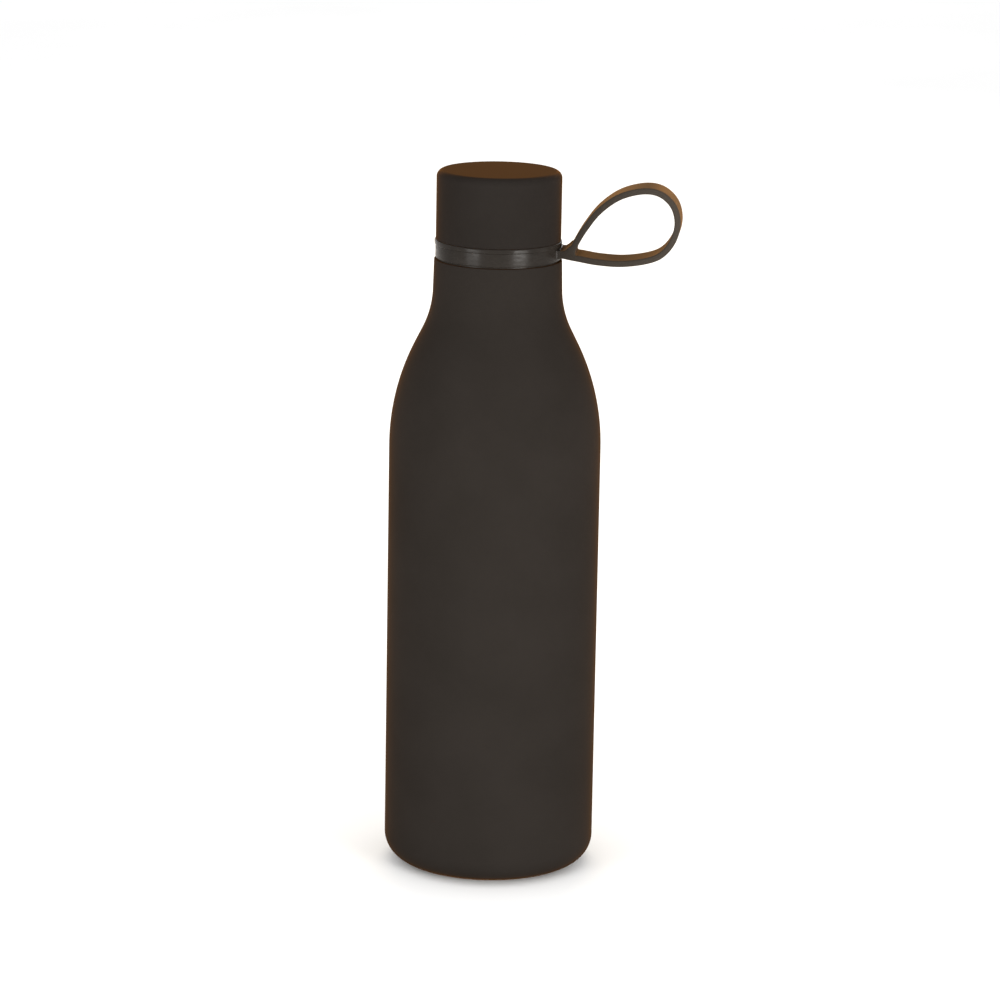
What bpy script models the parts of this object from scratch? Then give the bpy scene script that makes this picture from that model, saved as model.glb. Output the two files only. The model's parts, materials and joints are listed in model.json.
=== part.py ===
"""Insulated drinking bottle: a double-wall steel body, a screw cap and a carrying strap.

Metres, +Z up. The bottle stands on z = 0 with its axis on Z. The strap points along +X, turned a little to -Y.
"""

import math

import bmesh
import bpy
from mathutils import Matrix, Vector

# Tessellation and clearances
SEGMENTS = 40
INNER_SEGMENTS = 32
SMALL_SEGMENTS = 20
ARC_SAG = 0.00008
GAP = 0.0003
EMBED = 0.0004

# Outer steel body
BODY_R = 0.0365
STEEL = 0.0005
BASE_Z = 0.0004
BASE_FILLET = 0.0090
SEAM_Z = 0.0125
SHOULDER_Z = 0.16743
SHOULDER_FILLET = 0.080
NECK_CORNER_R = 0.02233
NECK_CORNER_Z = 0.19585
NECK_FILLET = 0.033
LEDGE_R = 0.02187
LEDGE_Z = 0.2137
EDGE_FILLET = 0.0006

# Threaded neck finish and its thread, which the cap shares
FINISH_R = 0.0172
FINISH_TOP_Z = 0.2324
THREAD_PITCH = 0.005
THREAD_BASE = 0.0020
THREAD_CREST = 0.0010
THREAD_RUNOUT = math.radians(40)
NECK_CREST_R = 0.0183
NECK_THREAD_Z = 0.2190
NECK_THREAD_TURNS = 1.8
CAP_ROOT_R = 0.01875
CAP_CREST_R = 0.0176
CAP_THREAD_DROP = 0.00165
CAP_THREAD_TURNS = 1.6

# Inner liner, with its lip over the neck finish
LINER_R = 0.0326
LINER_NECK_R = 0.0161
LINER_SHOULDER_Z = 0.1665
LINER_SHOULDER_FILLET = 0.076
LINER_NECK_Z = 0.1996
LINER_NECK_FILLET = 0.030
LINER_SEAM_Z = 0.0160
LINER_FLOOR_Z = 0.0080
LINER_FLOOR_FILLET = 0.0060
LIP_R = 0.0175
LIP_TOP_Z = 0.2335

# Foil wrap, getter and evacuation port
FOIL_R = 0.0330
FOIL_THICKNESS = 0.00025
FOIL_BOTTOM_Z = 0.0180
FOIL_TOP_Z = 0.1480
GETTER_R = 0.0052
GETTER_BOTTOM_Z = 0.0054
GETTER_TOP_Z = 0.0070
HOLDER_WALL = 0.0004
PORT_R = 0.0012
BEAD_HEAD_R = 0.0022
BEAD_TOP_Z = 0.0042

# Base pad, let into the steel base
PAD_R = 0.0257
PAD_TOP_Z = 0.0021

# Cap
CAP_R = 0.0214
CAP_TOP_Z = 0.2443
CAP_FILLET = 0.00245
COVER_WALL = 0.0009
COVER_TOP_WALL = 0.0011
FLANGE_R = 0.0218
FLANGE_BOTTOM_Z = 0.2191
FLANGE_TOP_Z = 0.22045
SKIRT_R = 0.0199
SKIRT_BOTTOM_Z = 0.21424
GROOVE_R = 0.0193
GROOVE_BOTTOM_Z = 0.2156
GROOVE_TOP_Z = 0.2176
ROOF_BOTTOM_Z = 0.2352
ROOF_TOP_Z = 0.2364
BOSS_R = 0.0135
BOSS_LIP_R = 0.0143
BOSS_BOTTOM_Z = 0.2322
BOSS_WALL = 0.0012

# Strap: a ring in the cap's groove and a flat loop, joined at a short flexible root
STRAP_TURN = math.radians(-5.5)
RING_R = 0.0215
RING_INNER_R = 0.0202
RING_TOP_Z = 0.2188
RING_FILLET = 0.0004
ROOT_BACK = 0.0183
ROOT_FACE = 0.0222
ROOT_BOTTOM_Z = 0.2151
ROOT_TOP_Z = 0.2185
HINGE_REACH = 0.0244
HINGE_Z = 0.2170
HINGE_R = 0.0019
HINGE_STEPS = 10
STRAP_WIDTH = 0.0140
STRAP_THICKNESS = 0.00213
LOOP_STEPS = 4

# Centre line of the loop's free band, as (distance from the bottle's axis, height), from the upper side of the
# crotch round to its lower side. The first and last points only set the end directions.
LOOP_POINTS = [
    (0.02580, 0.21800),
    (0.02640, 0.21980),
    (0.02975, 0.22575),
    (0.03466, 0.23218),
    (0.04140, 0.23719),
    (0.04927, 0.23943),
    (0.05530, 0.23860),
    (0.05972, 0.23467),
    (0.06130, 0.22890),
    (0.05991, 0.22284),
    (0.05620, 0.21800),
    (0.05096, 0.21565),
    (0.04266, 0.21438),
    (0.03452, 0.21466),
    (0.02850, 0.21555),
    (0.02550, 0.21600),
]
# Solid stem where both ends of the band are one: corners above and below it, and the hollow of the crotch
STEM_SHOULDER = (0.02460, 0.21970)
STEM_HEEL = (0.02650, 0.21480)
CROTCH = [
    (0.02760, 0.21670),
    (0.02705, 0.21700),
    (0.02698, 0.21790),
]


def clear_scene():
    for thing in list(bpy.data.objects):
        bpy.data.objects.remove(thing, do_unlink=True)


def make_material(name, colour, roughness, metallic):
    material = bpy.data.materials.new(name)
    material.use_nodes = True
    shader = material.node_tree.nodes["Principled BSDF"]
    shader.inputs["Base Color"].default_value = (*colour, 1.0)
    shader.inputs["Roughness"].default_value = roughness
    shader.inputs["Metallic"].default_value = metallic
    return material


def paint(name):
    return make_material(name, (0.035, 0.031, 0.028), 0.55, 0.0)


def bare_steel(name):
    return make_material(name, (0.56, 0.55, 0.53), 0.30, 1.0)


def plastic(name, shade, roughness):
    return make_material(name, (shade, shade * 0.97, shade * 0.94), roughness, 0.0)


def rounded_path(corners):
    """Return a path through (radius, height, fillet) corners, with an arc at each corner that has a fillet."""
    path = []
    for index, corner in enumerate(corners):
        here = Vector(corner[:2])
        fillet = corner[2] if len(corner) > 2 else 0.0
        if not fillet:
            path.append(here)
            continue
        towards = (Vector(corners[index - 1][:2]) - here).normalized()
        onwards = (Vector(corners[(index + 1) % len(corners)][:2]) - here).normalized()
        half = towards.angle(onwards) / 2
        centre = here + (towards + onwards).normalized() * fillet / math.sin(half)
        start = here + towards * fillet / math.tan(half) - centre
        end = here + onwards * fillet / math.tan(half) - centre
        sweep = start.angle_signed(end)
        step_angle = 2 * math.acos(1 - ARC_SAG / fillet)
        steps = max(1, round(abs(sweep) / step_angle))
        for step in range(steps + 1):
            path.append(centre + Matrix.Rotation(-sweep * step / steps, 2) @ start)
    return path


def offset_path(path, distance):
    """Move each point of a smooth path towards its left-hand side."""
    moved = []
    for index, point in enumerate(path):
        before = path[max(index - 1, 0)]
        after = path[min(index + 1, len(path) - 1)]
        along = (after - before).normalized()
        moved.append(point + Vector((-along.y, along.x)) * distance)
    return moved


def new_object(name, mesh, material):
    thing = bpy.data.objects.new(name, mesh)
    bpy.context.collection.objects.link(thing)
    if material:
        mesh.materials.append(material)
        mesh.shade_smooth()
        mesh.set_sharp_from_angle(angle=math.radians(35))
    return thing


def turned(name, path, material, closed=True, segments=SEGMENTS):
    """Spin a path round Z. An open path starts and ends on the axis."""
    shape = bmesh.new()
    verts = [shape.verts.new((point[0], 0.0, point[1])) for point in path]
    edges = [shape.edges.new(pair) for pair in zip(verts, verts[1:])]
    if closed:
        edges.append(shape.edges.new((verts[-1], verts[0])))
    bmesh.ops.spin(
        shape,
        geom=verts + edges,
        axis=(0, 0, 1),
        angle=math.tau,
        steps=segments,
        use_merge=True,
    )
    bmesh.ops.remove_doubles(shape, verts=shape.verts[:], dist=1e-6)
    bmesh.ops.recalc_face_normals(shape, faces=shape.faces[:])
    mesh = bpy.data.meshes.new(name)
    shape.to_mesh(mesh)
    shape.free()
    return new_object(name, mesh, material)


def swept(name, sections):
    """Skin a list of equal, closed sections and cap both ends."""
    shape = bmesh.new()
    rings = [[shape.verts.new(point) for point in section] for section in sections]
    for ring, following in zip(rings, rings[1:]):
        for index in range(len(ring)):
            after = (index + 1) % len(ring)
            shape.faces.new((ring[index], ring[after], following[after], following[index]))
    shape.faces.new(rings[0][::-1])
    shape.faces.new(rings[-1])
    bmesh.ops.recalc_face_normals(shape, faces=shape.faces[:])
    mesh = bpy.data.meshes.new(name)
    shape.to_mesh(mesh)
    shape.free()
    return mesh


def as_cutter(thing):
    thing.hide_render = True
    thing.display_type = "WIRE"
    return thing


def add_boolean(thing, other, operation):
    modifier = thing.modifiers.new(other.name, "BOOLEAN")
    modifier.operation = operation
    modifier.solver = "EXACT"
    modifier.object = other


def thread_ridge(name, wall_r, crest_r, start_z, turns):
    """Right-hand helical ridge on a wall, inwards or outwards, that sinks into the wall at both ends."""
    outwards = math.copysign(1.0, crest_r - wall_r)
    hidden_r = wall_r - outwards * EMBED
    steps = round(turns * SEGMENTS)
    sections = []
    for step in range(steps + 1):
        angle = math.tau * step / SEGMENTS
        from_end = min(step, steps - step) * math.tau / SEGMENTS
        rise = min(1.0, from_end / THREAD_RUNOUT)
        sunk_r = wall_r - outwards * EMBED / 2
        tip_r = sunk_r + (crest_r - sunk_r) * rise
        centre_z = start_z + THREAD_PITCH * step / SEGMENTS
        outline = [
            (hidden_r, -THREAD_BASE / 2),
            (tip_r, -THREAD_CREST / 2),
            (tip_r, THREAD_CREST / 2),
            (hidden_r, THREAD_BASE / 2),
        ]
        sections.append([
            (radius * math.cos(angle), radius * math.sin(angle), centre_z + height)
            for radius, height in outline
        ])
    return as_cutter(new_object(name, swept(name, sections), None))


def body_corners(bottom_z, top):
    return [
        (BODY_R, bottom_z),
        (BODY_R, SHOULDER_Z, SHOULDER_FILLET),
        (NECK_CORNER_R, NECK_CORNER_Z, NECK_FILLET),
        *top,
    ]


def build_outer_shell():
    bottom_z = SEAM_Z + GAP / 2
    outside = rounded_path(body_corners(bottom_z, [
        (LEDGE_R, LEDGE_Z, EDGE_FILLET),
        (FINISH_R, LEDGE_Z, EDGE_FILLET),
        (FINISH_R, FINISH_TOP_Z),
        (FINISH_R - STEEL, FINISH_TOP_Z),
        (FINISH_R - STEEL, LEDGE_Z - STEEL),
    ]))
    smooth = rounded_path(body_corners(bottom_z, [(LEDGE_R, LEDGE_Z - STEEL)]))
    inside = offset_path(smooth, STEEL)
    shell = turned("outer_shell", outside + inside[::-1], paint("shell_paint"))
    ridge = thread_ridge("neck_thread", FINISH_R, NECK_CREST_R, NECK_THREAD_Z, NECK_THREAD_TURNS)
    add_boolean(shell, ridge, "UNION")
    return shell


def build_outer_base():
    recess_r = PAD_R + GAP
    plate_z = PAD_TOP_Z + GAP
    top_z = SEAM_Z - GAP / 2
    path = rounded_path([
        (BODY_R, top_z),
        (BODY_R - STEEL, top_z),
        (BODY_R - STEEL, BASE_Z + STEEL, BASE_FILLET - STEEL),
        (recess_r + STEEL, BASE_Z + STEEL),
        (recess_r + STEEL, plate_z + STEEL),
        (PORT_R, plate_z + STEEL),
        (PORT_R, plate_z),
        (recess_r, plate_z),
        (recess_r, BASE_Z),
        (BODY_R, BASE_Z, BASE_FILLET),
    ])
    return turned("outer_base", path, paint("base_paint"))


def build_base_pad():
    path = rounded_path([(0, 0), (PAD_R, 0, EDGE_FILLET), (PAD_R, PAD_TOP_Z), (0, PAD_TOP_Z)])
    material = plastic("pad_rubber", 0.02, 0.8)
    return turned("base_pad", path, material, closed=False, segments=INNER_SEGMENTS)


def build_vacuum_seal_bead():
    stem_r = PORT_R - GAP
    head_z = PAD_TOP_Z + GAP + STEEL + GAP
    path = rounded_path([
        (0, PAD_TOP_Z + GAP),
        (stem_r, PAD_TOP_Z + GAP),
        (stem_r, head_z),
        (BEAD_HEAD_R, head_z),
        (BEAD_HEAD_R, BEAD_TOP_Z, GAP),
        (0, BEAD_TOP_Z),
    ])
    material = make_material("seal_glass", (0.30, 0.24, 0.16), 0.2, 0.0)
    return turned("vacuum_seal_bead", path, material, closed=False, segments=SMALL_SEGMENTS)


def build_inner_liner():
    outside = rounded_path([
        (LINER_R, LINER_SEAM_Z + GAP / 2),
        (LINER_R, LINER_SHOULDER_Z, LINER_SHOULDER_FILLET),
        (LINER_NECK_R, LINER_NECK_Z, LINER_NECK_FILLET),
        (LINER_NECK_R, FINISH_TOP_Z),
    ])
    inside = offset_path(outside, STEEL)
    lip = rounded_path([
        (LINER_NECK_R, LIP_TOP_Z - STEEL),
        (LIP_R, LIP_TOP_Z - STEEL, GAP),
        (LIP_R, LIP_TOP_Z, GAP),
        (LINER_NECK_R - STEEL, LIP_TOP_Z, GAP),
        (LINER_NECK_R - STEEL, FINISH_TOP_Z),
    ])
    path = outside[:-1] + lip + inside[-2::-1]
    return turned("inner_liner", path, bare_steel("liner_steel"), segments=INNER_SEGMENTS)


def build_liner_base():
    top_z = LINER_SEAM_Z - GAP / 2
    path = rounded_path([
        (0, LINER_FLOOR_Z),
        (LINER_R, LINER_FLOOR_Z, LINER_FLOOR_FILLET),
        (LINER_R, top_z),
        (LINER_R - STEEL, top_z),
        (LINER_R - STEEL, LINER_FLOOR_Z + STEEL, LINER_FLOOR_FILLET - STEEL),
        (0, LINER_FLOOR_Z + STEEL),
    ])
    material = bare_steel("liner_base_steel")
    return turned("liner_base", path, material, closed=False, segments=INNER_SEGMENTS)


def build_heat_shield_foil():
    path = [
        Vector((FOIL_R, FOIL_BOTTOM_Z)),
        Vector((FOIL_R + FOIL_THICKNESS, FOIL_BOTTOM_Z)),
        Vector((FOIL_R + FOIL_THICKNESS, FOIL_TOP_Z)),
        Vector((FOIL_R, FOIL_TOP_Z)),
    ]
    material = make_material("foil_copper", (0.80, 0.42, 0.28), 0.25, 1.0)
    return turned("heat_shield_foil", path, material, segments=INNER_SEGMENTS)


def build_getter_holder():
    inner_r = GETTER_R + GAP
    outer_r = inner_r + HOLDER_WALL
    top_z = LINER_FLOOR_Z - GAP
    crimp_z = GETTER_BOTTOM_Z - GAP
    path = rounded_path([
        (0, top_z),
        (outer_r, top_z, HOLDER_WALL),
        (outer_r, crimp_z - HOLDER_WALL),
        (GETTER_R - EDGE_FILLET, crimp_z - HOLDER_WALL),
        (GETTER_R - EDGE_FILLET, crimp_z),
        (inner_r, crimp_z),
        (inner_r, GETTER_TOP_Z + GAP),
        (0, GETTER_TOP_Z + GAP),
    ])
    material = bare_steel("holder_steel")
    return turned("getter_holder", path, material, closed=False, segments=SMALL_SEGMENTS)


def build_getter_pellet():
    path = rounded_path([
        (0, GETTER_BOTTOM_Z),
        (GETTER_R, GETTER_BOTTOM_Z),
        (GETTER_R, GETTER_TOP_Z),
        (0, GETTER_TOP_Z),
    ])
    material = make_material("getter_metal", (0.12, 0.12, 0.13), 0.7, 0.6)
    return turned("getter_pellet", path, material, closed=False, segments=SMALL_SEGMENTS)


def build_cap_cover():
    inner_r = CAP_R - COVER_WALL
    bottom_z = FLANGE_TOP_Z + GAP
    path = rounded_path([
        (0, CAP_TOP_Z - COVER_TOP_WALL),
        (inner_r, CAP_TOP_Z - COVER_TOP_WALL, CAP_FILLET - COVER_WALL),
        (inner_r, bottom_z),
        (CAP_R, bottom_z),
        (CAP_R, CAP_TOP_Z, CAP_FILLET),
        (0, CAP_TOP_Z),
    ])
    return turned("cap_cover", path, paint("cover_paint"), closed=False)


def build_cap_body():
    sleeve_r = CAP_R - COVER_WALL - GAP
    recess_r = BOSS_R - BOSS_WALL
    path = rounded_path([
        (0, BOSS_BOTTOM_Z),
        (BOSS_LIP_R, BOSS_BOTTOM_Z, GAP),
        (BOSS_LIP_R, BOSS_BOTTOM_Z + BOSS_WALL - GAP),
        (BOSS_R, BOSS_BOTTOM_Z + BOSS_WALL),
        (BOSS_R, ROOF_BOTTOM_Z),
        (CAP_ROOT_R, ROOF_BOTTOM_Z),
        (CAP_ROOT_R, SKIRT_BOTTOM_Z),
        (SKIRT_R, SKIRT_BOTTOM_Z),
        (SKIRT_R, GROOVE_BOTTOM_Z),
        (GROOVE_R, GROOVE_BOTTOM_Z),
        (GROOVE_R, GROOVE_TOP_Z),
        (SKIRT_R, GROOVE_TOP_Z),
        (SKIRT_R, FLANGE_BOTTOM_Z),
        (FLANGE_R, FLANGE_BOTTOM_Z, GAP),
        (FLANGE_R, FLANGE_TOP_Z, GAP),
        (sleeve_r, FLANGE_TOP_Z),
        (sleeve_r, ROOF_TOP_Z),
        (recess_r, ROOF_TOP_Z),
        (recess_r, BOSS_BOTTOM_Z + BOSS_WALL),
        (0, BOSS_BOTTOM_Z + BOSS_WALL),
    ])
    body = turned("cap_body", path, plastic("cap_body_plastic", 0.06, 0.35), closed=False)
    ridge = thread_ridge(
        "cap_thread",
        CAP_ROOT_R,
        CAP_CREST_R,
        NECK_THREAD_Z - CAP_THREAD_DROP,
        CAP_THREAD_TURNS,
    )
    add_boolean(body, ridge, "UNION")
    return body


def build_cap_foam():
    plug_r = BOSS_R - BOSS_WALL - GAP
    disc_r = CAP_R - CAP_FILLET
    path = rounded_path([
        (0, BOSS_BOTTOM_Z + BOSS_WALL + GAP),
        (plug_r, BOSS_BOTTOM_Z + BOSS_WALL + GAP),
        (plug_r, ROOF_TOP_Z + GAP),
        (disc_r, ROOF_TOP_Z + GAP),
        (disc_r, CAP_TOP_Z - COVER_TOP_WALL - GAP),
        (0, CAP_TOP_Z - COVER_TOP_WALL - GAP),
    ])
    material = make_material("foam", (0.78, 0.76, 0.70), 0.9, 0.0)
    return turned("cap_foam", path, material, closed=False, segments=INNER_SEGMENTS)


def build_cap_gasket():
    path = rounded_path([
        (BOSS_R + GAP, LIP_TOP_Z + GAP),
        (LIP_R, LIP_TOP_Z + GAP, GAP),
        (LIP_R, ROOF_BOTTOM_Z - GAP, GAP),
        (BOSS_R + GAP, ROOF_BOTTOM_Z - GAP),
    ])
    material = make_material("gasket_silicone", (0.45, 0.45, 0.44), 0.6, 0.0)
    return turned("cap_gasket", path, material, segments=INNER_SEGMENTS)


def strap_block(name, low, high):
    """Box between two (reach, across, height) corners of the strap's own frame, turned with the strap."""
    corners = [
        Vector((reach, across, height))
        for reach in (low[0], high[0])
        for across in (low[1], high[1])
        for height in (low[2], high[2])
    ]
    shape = bmesh.new()
    for corner in corners:
        shape.verts.new(corner)
    bmesh.ops.convex_hull(shape, input=shape.verts[:])
    mesh = bpy.data.meshes.new(name)
    shape.to_mesh(mesh)
    shape.free()
    block = as_cutter(new_object(name, mesh, None))
    block.rotation_euler.z = STRAP_TURN
    return block


def build_strap_ring():
    bead_r = GROOVE_R + GAP
    path = rounded_path([
        (RING_R, SKIRT_BOTTOM_Z, RING_FILLET),
        (RING_R, RING_TOP_Z, RING_FILLET),
        (RING_INNER_R, RING_TOP_Z),
        (RING_INNER_R, GROOVE_TOP_Z - GAP),
        (bead_r, GROOVE_TOP_Z - 2 * GAP),
        (bead_r, GROOVE_BOTTOM_Z + 2 * GAP),
        (RING_INNER_R, GROOVE_BOTTOM_Z + GAP),
        (RING_INNER_R, SKIRT_BOTTOM_Z),
    ][::-1])
    ring = turned("strap_ring", path, plastic("ring_plastic", 0.07, 0.4))
    half = STRAP_WIDTH / 2
    root = strap_block(
        "strap_root",
        (ROOT_BACK, -half, ROOT_BOTTOM_Z),
        (ROOT_FACE, half, ROOT_TOP_Z),
    )
    bore_r = (RING_INNER_R + RING_R) / 2
    bore_path = rounded_path([
        (0, ROOT_BOTTOM_Z - RING_R),
        (bore_r, ROOT_BOTTOM_Z - RING_R),
        (bore_r, ROOT_TOP_Z + RING_R),
        (0, ROOT_TOP_Z + RING_R),
    ])
    bore = as_cutter(turned("strap_root_bore", bore_path, None, closed=False))
    add_boolean(root, bore, "DIFFERENCE")
    add_boolean(ring, root, "UNION")
    return ring


def curve_through(points, steps):
    """Catmull-Rom curve through the inner points; the first and last points only set its end directions."""
    curve = []
    for before, start, end, after in zip(points, points[1:], points[2:], points[3:]):
        for step in range(steps):
            t = step / steps
            curve.append(
                (start * 2
                 + (end - before) * t
                 + (before * 2 - start * 5 + end * 4 - after) * t ** 2
                 + (start * 3 - before - end * 3 + after) * t ** 3) / 2
            )
    curve.append(points[-2])
    return curve


def build_strap_loop():
    """Flat band bent to a teardrop, whose solid stem ends in a round root on the hinge axis."""
    centre_line = curve_through([Vector(point) for point in LOOP_POINTS], LOOP_STEPS)
    hinge = Vector((HINGE_REACH, HINGE_Z))
    root = []
    for step in range(HINGE_STEPS + 1):
        angle = math.pi / 2 + math.pi * step / HINGE_STEPS
        root.append(hinge + HINGE_R * Vector((math.cos(angle), math.sin(angle))))
    shape = bmesh.new()

    def edge_verts(points):
        places = [Vector(point) - hinge for point in points]
        return [shape.verts.new((place.x, -STRAP_WIDTH / 2, place.y)) for place in places]

    outer = edge_verts(offset_path(centre_line, STRAP_THICKNESS / 2))
    inner = edge_verts(offset_path(centre_line, -STRAP_THICKNESS / 2))
    stem = edge_verts([STEM_SHOULDER, *root, STEM_HEEL])
    crotch = edge_verts(CROTCH)
    for index in range(len(outer) - 1):
        shape.faces.new((outer[index], outer[index + 1], inner[index + 1], inner[index]))
    shape.faces.new((inner[0], outer[0], *stem, outer[-1], inner[-1], *crotch))
    far_side = bmesh.ops.extrude_face_region(shape, geom=shape.faces[:])["geom"]
    far_verts = [item for item in far_side if isinstance(item, bmesh.types.BMVert)]
    bmesh.ops.translate(shape, verts=far_verts, vec=(0, STRAP_WIDTH, 0))
    bmesh.ops.recalc_face_normals(shape, faces=shape.faces[:])
    mesh = bpy.data.meshes.new("strap_loop")
    shape.to_mesh(mesh)
    shape.free()
    loop = new_object("strap_loop", mesh, plastic("loop_rubber", 0.10, 0.55))
    loop.location = (HINGE_REACH * math.cos(STRAP_TURN), HINGE_REACH * math.sin(STRAP_TURN), HINGE_Z)
    loop.rotation_euler.z = STRAP_TURN
    return loop


def add_pivot(name, location, parts, parent=None):
    """Empty on a joint's axis that carries the pieces of one moving body."""
    pivot = bpy.data.objects.new(name, None)
    pivot.location = location
    bpy.context.collection.objects.link(pivot)
    bpy.context.view_layer.update()
    for thing in parts:
        thing.parent = pivot
        thing.matrix_parent_inverse = Matrix.Translation(-Vector(location))
    if parent:
        pivot.parent = parent
        pivot.matrix_parent_inverse = Matrix.Translation(-parent.location)
    return pivot


def main():
    clear_scene()
    build_outer_shell()
    build_outer_base()
    build_base_pad()
    build_vacuum_seal_bead()
    build_inner_liner()
    build_liner_base()
    build_heat_shield_foil()
    build_getter_holder()
    build_getter_pellet()
    gasket = build_cap_gasket()
    cap = [build_cap_cover(), build_cap_body(), build_cap_foam()]
    ring = build_strap_ring()
    loop = build_strap_loop()
    on_axis = (0.0, 0.0, LEDGE_Z)
    rise = add_pivot("cap_rise_axis", on_axis, [gasket])
    turn = add_pivot("cap_turn_axis", on_axis, cap, rise)
    swivel = add_pivot("strap_swivel_axis", on_axis, [ring], turn)
    add_pivot("strap_flex_axis", loop.location.copy(), [loop], swivel)


main()
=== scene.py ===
"""Looks of the insulated bottle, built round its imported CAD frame. Metres, +Z up."""

import json
import math

import bmesh
import bpy
from mathutils import Matrix, Vector


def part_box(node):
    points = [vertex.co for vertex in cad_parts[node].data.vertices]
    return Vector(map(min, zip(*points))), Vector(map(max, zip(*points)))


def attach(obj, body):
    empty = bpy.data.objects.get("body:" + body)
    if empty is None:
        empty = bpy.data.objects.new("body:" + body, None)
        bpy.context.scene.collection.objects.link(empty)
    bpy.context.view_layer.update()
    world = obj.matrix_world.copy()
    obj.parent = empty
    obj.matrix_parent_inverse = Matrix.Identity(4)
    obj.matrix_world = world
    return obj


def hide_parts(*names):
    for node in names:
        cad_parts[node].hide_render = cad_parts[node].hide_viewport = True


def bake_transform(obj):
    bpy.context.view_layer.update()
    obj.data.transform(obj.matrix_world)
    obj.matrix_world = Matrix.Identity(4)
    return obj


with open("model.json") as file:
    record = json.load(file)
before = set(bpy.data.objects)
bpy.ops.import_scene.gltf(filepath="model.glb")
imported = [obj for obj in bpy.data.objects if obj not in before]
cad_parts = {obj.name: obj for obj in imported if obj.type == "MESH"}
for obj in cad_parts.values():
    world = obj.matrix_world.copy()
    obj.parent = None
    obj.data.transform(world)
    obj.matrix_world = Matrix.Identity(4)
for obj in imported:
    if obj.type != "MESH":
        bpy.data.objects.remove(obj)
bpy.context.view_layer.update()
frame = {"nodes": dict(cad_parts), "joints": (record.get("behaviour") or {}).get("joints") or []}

# ---------------------------------------------------------------- sizes from the frame
SHELL_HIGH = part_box("outer_shell")[1]
BASE_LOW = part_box("outer_base")[0]
PAD_LOW, PAD_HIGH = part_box("base_pad")
LINER_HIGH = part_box("inner_liner")[1]
FLOOR_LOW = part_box("liner_base")[0]
GASKET_LOW, GASKET_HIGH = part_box("cap_gasket")
COVER_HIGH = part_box("cap_cover")[1]
CAP_LOW, CAP_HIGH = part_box("cap_body")
RING_LOW, RING_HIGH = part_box("strap_ring")
LOOP_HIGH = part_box("strap_loop")[1]
JOINTS = {joint["name"]: joint for joint in frame["joints"]}
HINGE = Vector(JOINTS["strap_flex"]["pos_m"])
STRAP_TURN = math.atan2(HINGE.y, HINGE.x)

BODY_R = SHELL_HIGH.y
CAP_R = COVER_HIGH.y
FLANGE_R = CAP_HIGH.y
RING_R = -RING_LOW.x
LINER_R = LINER_HIGH.y
LIP_TOP_Z = LINER_HIGH.z
CAP_TOP_Z = COVER_HIGH.z
FINISH_TOP_Z = SHELL_HIGH.z
BASE_Z = BASE_LOW.z

# ---------------------------------------------------------------- design sizes that a box doesn't give
STEEL = 0.0005
GAP = 0.0003
EDGE = 0.00012
SOFT_EDGE = 0.0004
BASE_FILLET = 0.0090
SHOULDER_Z = 0.16743
SHOULDER_FILLET = 0.080
NECK_CORNER_R = 0.02233
NECK_CORNER_Z = 0.19585
NECK_FILLET = 0.033
LEDGE_R = 0.02187
LEDGE_Z = 0.2137
LEDGE_FILLET = 0.00025
FINISH_R = 0.0172
THREAD_PITCH = 0.005
THREAD_BASE = 0.0022
THREAD_CREST = 0.0008
THREAD_RUNOUT = math.radians(40)
NECK_CREST_R = 0.0183
NECK_THREAD_Z = 0.2190
NECK_THREAD_TURNS = 1.8
CAP_ROOT_R = 0.01875
CAP_CREST_R = 0.0176
CAP_THREAD_DROP = 0.00165
CAP_THREAD_TURNS = 1.6
LINER_NECK_R = 0.0161
LINER_SHOULDER_Z = 0.1665
LINER_SHOULDER_FILLET = 0.076
LINER_NECK_Z = 0.1996
LINER_NECK_FILLET = 0.030
LINER_FLOOR_FILLET = 0.0060
LIP_THICKNESS = 0.0008
CAP_FILLET = 0.00245
COVER_WALL = 0.0009
FLANGE_BOTTOM_Z = 0.2191
FLANGE_TOP_Z = 0.22045
SKIRT_R = 0.0199
GROOVE_R = 0.0193
GROOVE_BOTTOM_Z = 0.2156
GROOVE_TOP_Z = 0.2176
ROOF_BOTTOM_Z = 0.2352
BOSS_R = 0.0135
BOSS_LIP_R = 0.0143
BOSS_WALL = 0.0012
BOSS_Z = 0.2322
PAD_GROOVE_FIRST = 0.62
PAD_GROOVE_SPACING = 0.085
PAD_GROOVE_COUNT = 4
PAD_GROOVE_DEPTH = 0.0004
PAD_GROOVE_HALF_MOUTH = 0.0005
PAD_GROOVE_HALF_FLOOR = 0.0003
RING_INNER_R = 0.0202
RING_LIFT = 0.0001
STRAP_WIDTH = 0.0140
STRAP_THICKNESS = 0.00213
STRAP_EDGE = 0.0006

ROUND_SEGMENTS = 192
THREAD_SEGMENTS = 240
THREAD_STEP = 0.00016
COVER_STEP = 0.003
SHELL_STEP = 0.004
LINER_STEP = 0.006
ARC_STEP = math.radians(1.5)
SMALL_ARC_STEP = math.radians(15)
SMALL_FILLET = 0.001
BAND_STEPS = 14
NECK_STEPS = 20
BLEND_STEPS = 6
BAND_LEAD = 8
NECK_LEAD = 2
FLARE_STEPS = 12
EDGE_STEPS = 5
WIDTH_STEPS = 8

# Centre line of the loop's free band, as (distance from the bottle's axis, height), from the upper side
# of the crotch round to its lower side. The first and last points only set the end directions.
LOOP_POINTS = [
    (0.02580, 0.21800),
    (0.02640, 0.21980),
    (0.02975, 0.22575),
    (0.03466, 0.23218),
    (0.04140, 0.23719),
    (0.04927, 0.23943),
    (0.05530, 0.23860),
    (0.05972, 0.23467),
    (0.06130, 0.22890),
    (0.05991, 0.22284),
    (0.05620, 0.21800),
    (0.05096, 0.21565),
    (0.04266, 0.21438),
    (0.03452, 0.21466),
    (0.02850, 0.21555),
    (0.02550, 0.21600),
]
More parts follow.
